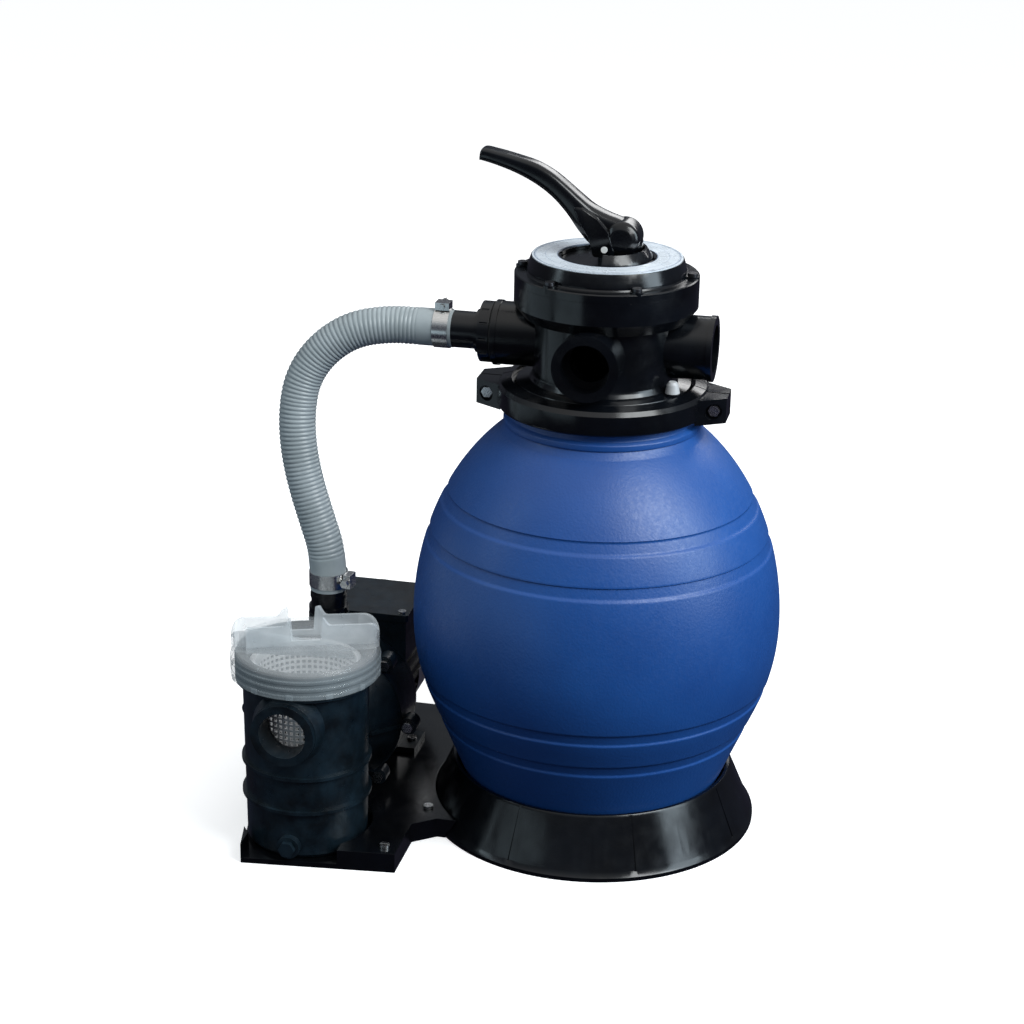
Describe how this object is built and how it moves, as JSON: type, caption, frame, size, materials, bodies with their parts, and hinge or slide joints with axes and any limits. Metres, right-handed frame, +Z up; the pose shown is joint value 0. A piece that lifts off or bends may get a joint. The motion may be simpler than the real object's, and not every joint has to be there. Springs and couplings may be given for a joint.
{
  "type": "pool sand filter with pump",
  "caption": "Blue egg-shaped pool sand filter on a black base, with a top multiport valve and lever, a grey hose and a pump with a clear-lidded strainer.",
  "frame": {"origin": "on the ground, under the tank's vertical axis, in the plane the base rests on", "axes": "+Z up along the tank's axis; -Y towards the valve's front port; +X towards the free side port, so that the hose and the pump are on the -X side"},
  "size_m": [0.5208, 0.392, 0.659],
  "materials": {
    "blue_tank": "satin moulded blue with a fine orange-peel skin",
    "gloss_black": "glossy moulded black plastic",
    "moulded_black": "satin black plastic with faint moulding flow",
    "sand": "loose filter sand",
    "white_pipe": "white moulded plastic",
    "clear_lid": "clear moulded plastic, slightly milky",
    "white_basket": "white moulded mesh",
    "grey_hose": "light grey corrugated hose",
    "silver_label": "pale silver label ring, blank",
    "grey_plastic": "light grey plastic plug",
    "rubber_seal": "black rubber",
    "stainless": "bright stainless steel",
    "laminations": "stacked electrical steel",
    "copper": "varnished copper winding",
    "motor_black": "black painted aluminium"
  },
  "bodies": {
    "root": {"tank_shell": "blue_tank", "tank_base": "gloss_black", "pump_platform": "gloss_black", "platform_screws": "stainless", "sand_bed": "sand", "standpipe": "white_pipe", "lateral_hub": "white_pipe", "laterals": "white_pipe", "valve_o_rings": "rubber_seal", "clamp_half_front": "gloss_black", "clamp_half_rear": "gloss_black", "clamp_bolts": "stainless", "clamp_nuts": "stainless", "valve_body": "gloss_black", "spider_gasket": "rubber_seal", "inlet_socket": "moulded_black", "valve_lid": "gloss_black", "label_ring": "silver_label", "lid_screws": "stainless", "lid_nuts": "stainless", "spring_washer": "stainless", "rotor_spring": "stainless", "hose_adapter": "gloss_black", "port_o_rings": "rubber_seal", "hose": "grey_hose", "hose_clamp_bands": "stainless", "hose_clamp_screws": "stainless", "pump_hose_tail": "gloss_black", "pump_body": "moulded_black", "strainer_basket": "white_basket", "volute_casing": "moulded_black", "flange_bolts": "stainless", "casing_o_ring": "rubber_seal", "seal_plate": "moulded_black", "seal_seat": "rubber_seal", "motor_bearings": "stainless", "stator_core": "laminations", "stator_windings": "copper", "motor_shell": "motor_black", "end_bell": "motor_black", "fan_cover": "moulded_black", "terminal_box": "moulded_black", "terminal_box_lid": "moulded_black", "box_screws": "stainless", "cable_gland": "moulded_black", "motor_foot": "moulded_black", "capacitor": "moulded_black"},
    "collar": {"index_collar": "gloss_black"},
    "stem": {"valve_rotor": "moulded_black", "handle_pin": "white_pipe"},
    "lever": {"handle_lever": "gloss_black"},
    "lid_ring": {"lid_seal": "rubber_seal"},
    "lid": {"strainer_lid": "clear_lid"},
    "motor_rotor": {"motor_shaft": "stainless", "rotor_core": "laminations", "impeller": "moulded_black", "seal_rotating": "stainless", "cooling_fan": "moulded_black"},
    "drain": {"drain_plug": "moulded_black"},
    "gauge": {"gauge_plug": "grey_plastic"}
  },
  "joints": [
    {"name": "selector_turn", "type": "hinge", "parent": "root", "child": "collar", "pos_m": [0, 0, 0.56], "axis": [0, 0, 1], "continuous": true},
    {"name": "rotor_lift", "type": "slide", "parent": "collar", "child": "stem", "axis": [0, 0, 1], "range_m": [0, 0.0055], "deforming": ["rotor_spring"]},
    {"name": "handle_press", "type": "hinge", "parent": "stem", "child": "lever", "pos_m": [0, 0, 0.574], "axis": [0, -1, 0], "range_deg": [0, 17]},
    {"name": "lid_rise", "type": "slide", "parent": "root", "child": "lid_ring", "axis": [0, 0, 1], "range_m": [0, 0.009]},
    {"name": "lid_turn", "type": "hinge", "parent": "lid_ring", "child": "lid", "pos_m": [-0.253, -0.137, 0.2], "axis": [0, 0, 1], "range_deg": [0, 540]},
    {"name": "shaft_spin", "type": "hinge", "parent": "root", "child": "motor_rotor", "pos_m": [-0.253, 0.05, 0.1], "axis": [0, 1, 0], "continuous": true},
    {"name": "drain_plug_out", "type": "slide", "parent": "root", "child": "drain", "axis": [0, -1, 0], "range_m": [0, 0.02]},
    {"name": "gauge_plug_out", "type": "slide", "parent": "root", "child": "gauge", "axis": [0, 0, 1], "range_m": [0, 0.012]}
  ],
  "couplings": [
    {"joint": "rotor_lift", "follows": "handle_press", "m_per_rad": 0.0182},
    {"joint": "lid_rise", "follows": "lid_turn", "m_per_rad": 0.00094432}
  ]
}
